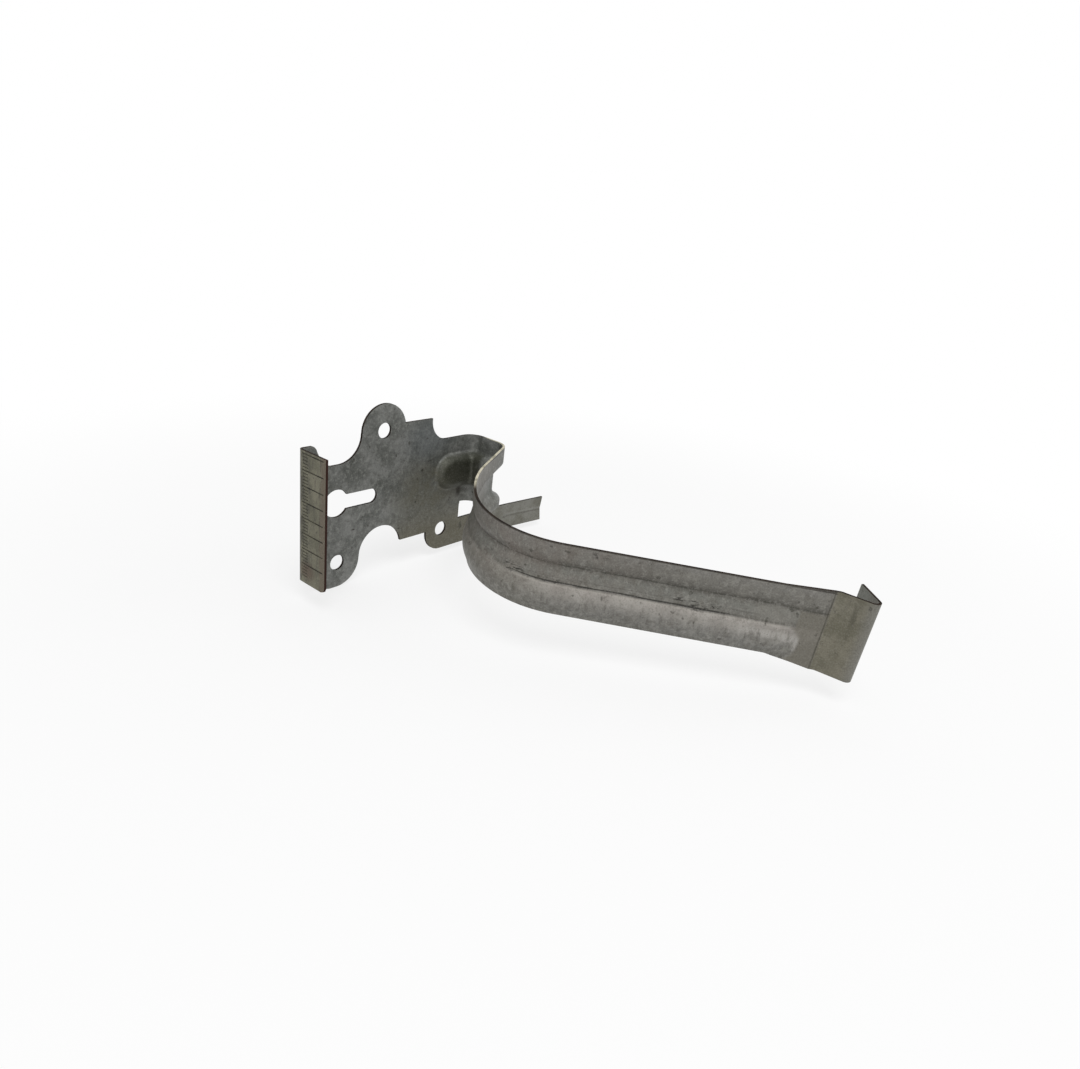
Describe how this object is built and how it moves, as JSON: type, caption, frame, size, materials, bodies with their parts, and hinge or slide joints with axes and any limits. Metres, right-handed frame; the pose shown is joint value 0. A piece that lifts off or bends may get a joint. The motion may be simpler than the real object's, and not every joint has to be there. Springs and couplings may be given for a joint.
{
  "type": "gutter bracket",
  "caption": "Pressed sheet-steel gutter bracket with a lobed fixing plate, graduated flange, swept swaged arm and folded hook.",
  "frame": {"origin": "middle of the back face of the fixing plate", "axes": "X along the plate from the flange to the tongue, Y into the wall, Z across the strip, up in use of the pictured pose"},
  "size_m": [0.1138, 0.1475, 0.059],
  "materials": {
    "galvanised_sheet": "weathered galvanised sheet, dull grey with darker mottling"
  },
  "bodies": {
    "root": {"bracket": "galvanised_sheet"}
  },
  "joints": []
}
